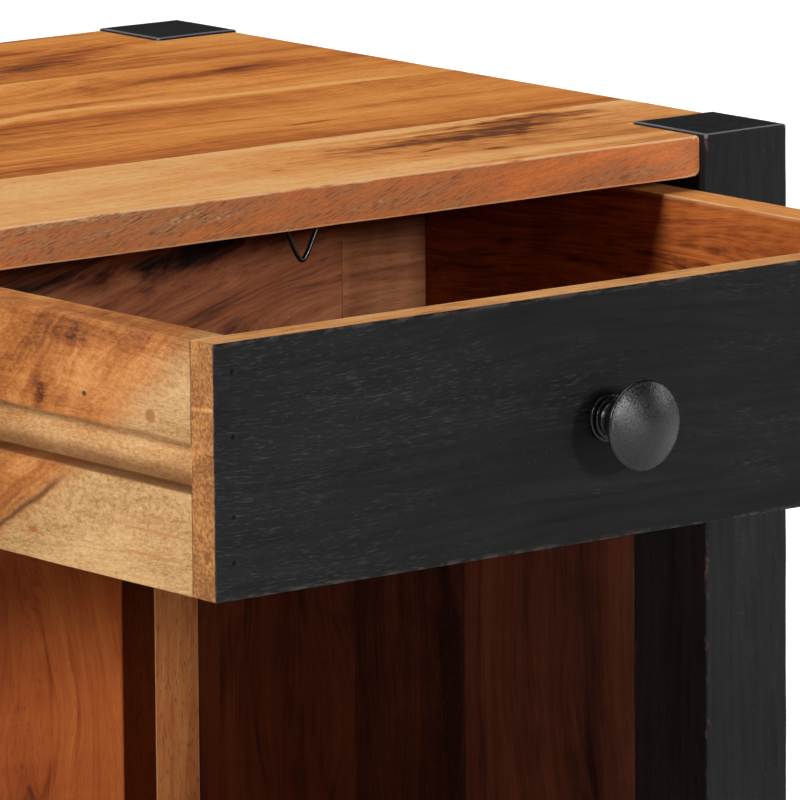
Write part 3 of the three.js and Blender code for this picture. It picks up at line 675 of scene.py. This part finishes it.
# A drawer side's section: a rectangle with the runner groove cut in the side that faces out
def sideOutline(node, out):
    low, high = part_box(node)
    groove = grooveEdges()
    deep = grooveLook["deep"]
    z0, z1, x0, x1 = low[2], high[2], low[0], high[0]
    if out < 0:
        return [(z0, x0), (groove[0], x0), (groove[0], x0 + deep), (groove[1], x0 + deep), (groove[1], x0),
                (z1, x0), (z1, x1), (z0, x1)]
    return [(z0, x0), (z1, x0), (z1, x1), (groove[1], x1), (groove[1], x1 - deep), (groove[0], x1 - deep),
            (groove[0], x1), (z0, x1)]


# painted light: the upper edge of the drawer's right side is made paler, as if lit from above
def paintedLightOnRim(wood, colour, fibre):
    low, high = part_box("drawer_side_right")
    upper = (high[2] - low[2]) / 2
    onRim = wood.step(wood.across, upper - 0.5 * mm, upper - 0.15 * mm)
    pale = wood.ramp(fibre, [(0.3, (0.74, 0.335, 0.100)), (0.7, (0.50, 0.180, 0.045))])
    return wood.mix(onRim * 0.85, colour, pale)


heartRamp = [(0.05, (0.56, 0.250, 0.080)), (0.40, (0.41, 0.140, 0.034)), (0.70, (0.25, 0.075, 0.018)),
             (1.0, (0.075, 0.022, 0.008))]
innerRamp = [(0.05, (0.58, 0.195, 0.045)), (0.40, (0.43, 0.115, 0.023)), (0.70, (0.20, 0.046, 0.011)),
             (1.0, (0.05, 0.013, 0.006))]
sideLooks = {
    "left": {"seed": 81.3, "tone": 0.40, "ramp": heartRamp, "start": -0.098, "slope": 1.14,
             "rim": lambda wood: 1 - wood.step(wood.across, -0.020, -0.010),
             "marks": [((-0.050, 0.032), (0.016, 0.012), 0.3, 0.15),
                       ((-0.062, 0.013), (0.004, 0.009), 1.0, 0.35),
                       ((-0.085, 0.041), (0.03, 0.005), 0.0, 0.30)],
             "knots": [((-0.129, 0.0161), (0.0030, 0.0027), (0.30, 0.13, 0.045), 0.9),
                       ((-0.089, 0.019), (0.0013, 0.0010), (0.06, 0.022, 0.01), 0.9),
                       ((-0.056, -0.0364), (0.0030, 0.0010), (0.34, 0.10, 0.02), 0.9),
                       ((-0.128, -0.0225), (0.022, 0.0006), (0.44, 0.21, 0.07), 0.7),
                       ((-0.133, -0.0265), (0.019, 0.0006), (0.40, 0.18, 0.06), 0.8),
                       ((-0.130, -0.0355), (0.020, 0.0006), (0.42, 0.19, 0.06), 0.8)]},
    "right": {"seed": 84.8, "tone": 0.25, "broad": 0.6, "lines": 0.5, "flames": 0.2, "pores": 0.25,
              "ramp": innerRamp, "face": paintedLightOnRim,
              # the first mark is painted shade: a broad darkening towards the back of the side, in the
              # tabletop's shadow
              "marks": [((0.05, 0.0), (0.15, 0.07), 0, 0.42), ((-0.11, 0.016), (0.09, 0.0022), 0.06, 0.7),
                        ((-0.09, 0.008), (0.10, 0.0016), 0.05, 0.6),
                        ((-0.12, 0.024), (0.07, 0.0012), 0.05, 0.35)]},
}
for index, (side, out) in enumerate((("left", -1), ("right", 1))):
    node = f"drawer_side_{side}"
    low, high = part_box(node)
    middle = (low[2] + high[2]) / 2
    look = {**sideLooks[side], "groove": [edge - middle for edge in grooveEdges()]}
    shape = {"axis": axisY, "arris": 0.45 * mm, "seed": 420 + 9 * index, "wave": 0.06 * mm, "uneven": 0.8}
    finish = sapAndHeart(node + "_wood", look) if side == "left" else acacia(node + "_wood", look)
    layBoard(node, drawer, finish, shape, sideOutline(node, out))
walnutRamp = [(0.05, (0.38, 0.145, 0.062)), (0.40, (0.26, 0.082, 0.034)), (0.66, (0.105, 0.036, 0.019)),
              (1.0, (0.014, 0.007, 0.006))]
shortRamp = [(0.1, (0.36, 0.145, 0.062)), (0.6, (0.21, 0.072, 0.029)), (1.0, (0.08, 0.026, 0.013))]
backLooks = {
    "drawer_back_long": {
        "seed": 91.4, "ramp": walnutRamp, "lines": 1.5, "tone": 0.37, "lean": -0.22, "broad": 0.5,
        "flames": 0.12, "fibre": 0.9,
        "marks": [((0.020, 0.014), (0.090, 0.008), 0.05, 0.28), ((0.000, 0.007), (0.055, 0.003), 0.10, 0.35),
                  ((0.075, 0.013), (0.045, 0.004), 0.10, 0.35)]},
    "drawer_back_short": {
        "seed": 93.1, "ramp": shortRamp, "lines": 1.3, "tone": 0.42, "shimmer": 1.0,
        "fibre": 1.1, "broad": 1.5},
    "drawer_bottom": {"seed": 95.2, "ramp": battenRamp, "broad": 0.5, "flames": 0.1},
}
for index, (node, look) in enumerate(backLooks.items()):
    shape = {"axis": axisX, "arris": 0.4 * mm, "seed": 440 + 9 * index}
    layBoard(node, drawer, acacia(node + "_wood", look), shape)

print("metal")


# Metal or moulded finish: fine pebbling and broad cloudiness, measured in waves per metre
def pebbled(name, look):
    paint = Paint(name)
    place = paint.add("ShaderNodeTexCoord", None, None, 3)
    fine = paint.noise(paint.vector("MULTIPLY", place, (look["grain"],) * 3), 3, 0.6)
    broad = paint.noise(paint.vector("MULTIPLY", place, (look["grain"] / 9,) * 3), 2, 0.5)
    dull = (*[part * 0.6 for part in look["tint"]], 1)
    bright = (*[part * 1.5 for part in look["tint"]], 1)
    tint = paint.mix(0.4 + (fine - 0.5) * 1.1, dull, bright)
    roughness = look["rough"] + (fine - 0.5) * 0.25 + (broad - 0.5) * 0.25
    normal = paint.bump(fine * 0.7 + broad * 0.6, look["bump"], 0.0005)
    return paint.finish(Base_Color=tint, Roughness=roughness, Metallic=look["metal"], Normal=normal)


metals = {
    "gunmetal": {"tint": (0.030, 0.030, 0.031), "rough": 0.27, "metal": 0.85, "grain": 1250, "bump": 0.42},
    "zinc_steel": {"tint": (0.50, 0.50, 0.51), "rough": 0.36, "metal": 1.0, "grain": 1500, "bump": 0.2},
    "dark_wire": {"tint": (0.045, 0.045, 0.046), "rough": 0.34, "metal": 1.0, "grain": 1800, "bump": 0.2},
    "glide_plastic": {"tint": (0.03, 0.027, 0.024), "rough": 0.55, "metal": 0.0, "grain": 900, "bump": 0.3},
}
gunmetal, steel, darkWire, glideFinish = (pebbled(name, look) for name, look in metals.items())

# "bore" is the small radius left at a piece's axis, "gap" the clearance between touching pieces
knobLook = {"rim": 2.2 * mm, "dome": 3.6 * mm, "stem": 6.6 * mm, "ring": 8.2 * mm, "ringWidth": 1.6 * mm,
            "collarBead": 0.8 * mm, "bore": 0.3 * mm, "gap": 0.05 * mm}


# Knob: a profile of [radius, distance out] smoothed where it bends, spun round its bolt
def makeKnob():
    low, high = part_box("knob")
    collarLow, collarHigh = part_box("knob_collar")
    place = ((low[0] + high[0]) / 2, collarHigh[1], (low[2] + high[2]) / 2)
    radius = (high[0] - low[0]) / 2
    reach = place[1] - low[1]
    collarRadius = (collarHigh[0] - collarLow[0]) / 2
    collarThick = collarHigh[1] - collarLow[1]
    bead = np.linspace(0, math.pi / 2, 6)
    beadSize, bore, gap = knobLook["collarBead"], knobLook["bore"], knobLook["gap"]
    collarOut = collarRadius - beadSize + beadSize * np.cos(bead)
    collarUp = collarThick - beadSize + beadSize * np.sin(bead)
    collarProfile = [[bore, gap], [collarRadius, gap], *zip(collarOut, collarUp), [bore, collarThick]]
    turnPiece("knob_collar_made", "knob_collar", drawer, collarProfile, place, (0, -1, 0), gunmetal)
    rim, stem, ring = knobLook["rim"], knobLook["stem"], knobLook["ring"]
    rimPlace = reach - knobLook["dome"]
    start = collarThick + 0.25 * mm
    swell = np.linspace(0, math.pi, 12)
    ringUp = start + knobLook["ringWidth"] * (1 - np.cos(swell)) / 2 + 0.2 * mm
    firstRing = np.stack([stem + (ring - stem) * np.sin(swell), ringUp], axis=1)
    flare = np.linspace(0, 1, 16)
    throatLow = start + 2.6 * mm
    throat = np.stack([stem - 0.5 * mm + (radius - 1.2 * mm - stem + 0.5 * mm) * flare**2.6,
                       throatLow + (rimPlace - rim - throatLow) * (1 - (1 - flare) ** 1.5)], axis=1)
    turn = np.linspace(-math.pi / 2, math.pi / 2, 11)
    lip = np.stack([radius - rim / 2 + rim / 2 * np.cos(turn),
                    rimPlace - rim / 2 + rim / 2 * np.sin(turn)], axis=1)
    share = np.linspace(1, 0.02, 22)[1:]
    crown = np.stack([(radius - rim / 2) * share, rimPlace + knobLook["dome"] * (1 - share**2)], axis=1)
    profile = np.concatenate([[[bore, start], [stem, start]], firstRing, throat, lip, crown])
    turnPiece("knob_made", "knob", drawer, profile, place, (0, -1, 0), gunmetal, 96)


makeKnob()

wireLook = {"thick": 2 * mm, "bend": 4.7 * mm, "slope": 2.16}


# Wire stop: a round section carried along a V whose foot is a hyperbola
def makeWire():
    low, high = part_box("wire_stop")
    middle = ((low[0] + high[0]) / 2, (low[1] + high[1]) / 2)
    half = (high[0] - low[0]) / 2 - wireLook["thick"] / 2
    x = np.linspace(-half, half, 61)
    rise = np.sqrt((wireLook["slope"] * x) ** 2 + wireLook["bend"] ** 2) - wireLook["bend"]
    bottom = low[2] + wireLook["thick"] / 2
    path = np.stack([x + middle[0], np.full_like(x, middle[1]), bottom + rise], axis=1)
    path[:, 2] = np.minimum(path[:, 2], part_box("top_board_1")[0][2] + 6 * mm)
    along = np.gradient(path, axis=0)
    along /= np.linalg.norm(along, axis=1)[:, None]
    sideways = np.array([0, 1.0, 0])
    up = np.cross(along, sideways)
    angle = np.linspace(0, 2 * math.pi, 14, endpoint=False)
    ring = np.cos(angle)[None, :, None] * sideways + np.sin(angle)[None, :, None] * up[:, None]
    piece = gridMesh("wire_made", path[:, None] + ring * wireLook["thick"] / 2, {})
    shadeSmooth(piece, 40)
    piece.data.materials.append(darkWire)
    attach(piece, body)
    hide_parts("wire_stop")


makeWire()
glideLook = {"thick": 4 * mm, "bead": 1.5 * mm, "pin": 2 * mm, "tip": 1 * mm, "rim": 0.4 * mm,
             "bore": 0.2 * mm}
# glides: low rounded feet under the legs, with a pin up into each
for node in [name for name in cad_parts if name.startswith("glide")]:
    low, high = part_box(node)
    centre = ((low[0] + high[0]) / 2, (low[1] + high[1]) / 2, 0)
    radius = (high[0] - low[0]) / 2
    thick = min(glideLook["thick"], high[2])
    bead, pin, tip, rim, bore = (glideLook[part] for part in ("bead", "pin", "tip", "rim", "bore"))
    turn = np.linspace(-math.pi / 2, 0, 6)
    foot = np.stack([radius - bead + bead * np.cos(turn), bead + bead * np.sin(turn)], axis=1)
    upper = [[radius, thick - rim], [radius - rim, thick], [pin, thick], [pin, high[2] - tip],
             [tip, high[2]], [bore, high[2]]]
    turnPiece(node + "_made", node, body, [[bore, 0], *foot, *upper], centre, (0, 0, 1), glideFinish, 40)
for node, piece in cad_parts.items():
    if piece.hide_render:
        continue
    piece.data.materials.clear()
    if node.startswith("dowel"):
        dowelWood = acacia(node + "_wood", {"seed": 97.3, "ramp": battenRamp})
        piece.data.materials.append(dowelWood)
    else:
        piece.data.materials.append(steel)

print("studio")


# The floor: a flat square grid, a little brighter of its own away from the table
def layFloor(size):
    mesh = bpy.data.meshes.new("studio_floor")
    side = np.linspace(-size, size, 5)
    x, y = np.meshgrid(side, side)
    points = np.stack([x, y, np.full_like(x, -0.0002)], axis=-1).reshape(-1, 3)
    index = np.arange(25).reshape(5, 5)
    faces = np.stack([index[:-1, :-1], index[:-1, 1:], index[1:, 1:], index[1:, :-1]], axis=-1)
    mesh.from_pydata(points, [], faces.reshape(-1, 4).tolist())
    floor = bpy.data.objects.new("studio_floor", mesh)
    bpy.context.scene.collection.objects.link(floor)
    paint = Paint("floor_paint")
    place = paint.add("ShaderNodeTexCoord", None, None, 3)
    mottle = paint.noise(paint.vector("MULTIPLY", place, (3, 3, 3)), 2, 0.5)
    pale = paint.mix(mottle, (0.86, 0.86, 0.86, 1), (0.90, 0.90, 0.90, 1))
    x, y = paint.split(place)[:2]
    reach = (x * x + y * y) ** 0.5
    glow = paint.mix(paint.step(reach, 0.5, 1.2), (0, 0, 0, 1), (0.36, 0.36, 0.36, 1))
    finish = paint.finish(Base_Color=pale, Roughness=0.8, Emission_Color=glow, Emission_Strength=1.0)
    mesh.materials.append(finish)


def addLight(kind, name, energy, place, aim, **settings):
    data = bpy.data.lights.new(name, kind)
    data.energy = energy
    for key, value in settings.items():
        setattr(data, key, value)
    light = bpy.data.objects.new(name, data)
    bpy.context.scene.collection.objects.link(light)
    light.location = place
    forward = np.array(aim, float) - np.array(place, float)
    forward /= np.linalg.norm(forward)
    right = np.cross(forward, [0.01, 0.02, 1.0])
    right /= np.linalg.norm(right)
    up = np.cross(right, forward)
    light.matrix_world = Matrix([[*column] for column in np.stack([right, up, -forward], axis=1)]).to_4x4()
    light.location = place


layFloor(14)
# each light's strength, the side it comes from and how soft it is, in degrees
studio = {"key": 2.15, "keyFrom": (-1.0, -0.03, 0.56), "keySize": 14,
          "above": 1.9, "aboveFrom": (-0.25, 0.3, 1.0), "aboveSize": 50,
          "front": 1.75, "frontFrom": (0.0, -1.0, 0.27), "frontSize": 7, "world": 0.06}
for name in ("key", "above", "front"):
    turned = math.radians(studio[name + "Size"])
    addLight("SUN", name + "_light", studio[name], studio[name + "From"], (0, 0, 0), angle=turned)
# two softboxes that only show as sheen on paint and metal
sheen = {"front": ((0.75, -2.9, 0.45), (0.6, 0.8), 9), "right": ((2.6, -1.5, 1.05), (0.5, 0.6), 14)}
for name, (place, size, energy) in sheen.items():
    addLight("AREA", name + "_sheen", energy, place, (0, -0.25, 0.45),
             shape="RECTANGLE", size=size[0], size_y=size[1])
    bpy.data.objects[name + "_sheen"].visible_diffuse = False
world = bpy.data.worlds.new("studio_air")
world.use_nodes = True
world.node_tree.nodes["Background"].inputs[0].default_value = (1, 1, 1, 1)
world.node_tree.nodes["Background"].inputs[1].default_value = studio["world"]
bpy.context.scene.world = world
bpy.context.scene.view_settings.view_transform = "Standard"

view = {"stand": (-2.1411, -2.8470, 1.0991), "heading": 38.3865, "dip": 10.3416, "roll": -0.4792,
        "lens": 414.68}  # where the camera stands, its turn in degrees and its lens


def setCamera():
    data = bpy.data.cameras.new("camera")
    data.lens = view["lens"]
    data.sensor_width = 36
    data.clip_end = 60
    camera = bpy.data.objects.new("camera", data)
    bpy.context.scene.collection.objects.link(camera)
    heading, dip, roll = (math.radians(view[key]) for key in ("heading", "dip", "roll"))
    level = math.cos(dip)
    forward = np.array([math.sin(heading) * level, math.cos(heading) * level, -math.sin(dip)])
    right = np.array([math.cos(heading), -math.sin(heading), 0])
    up = np.cross(right, forward)
    rolledRight = math.cos(roll) * right + math.sin(roll) * up
    rolledUp = math.cos(roll) * up - math.sin(roll) * right
    turn = np.stack([rolledRight, rolledUp, -forward], axis=1)
    camera.matrix_world = Matrix(turn.tolist()).to_4x4()
    camera.location = view["stand"]
    bpy.context.scene.camera = camera


setCamera()
print("done")
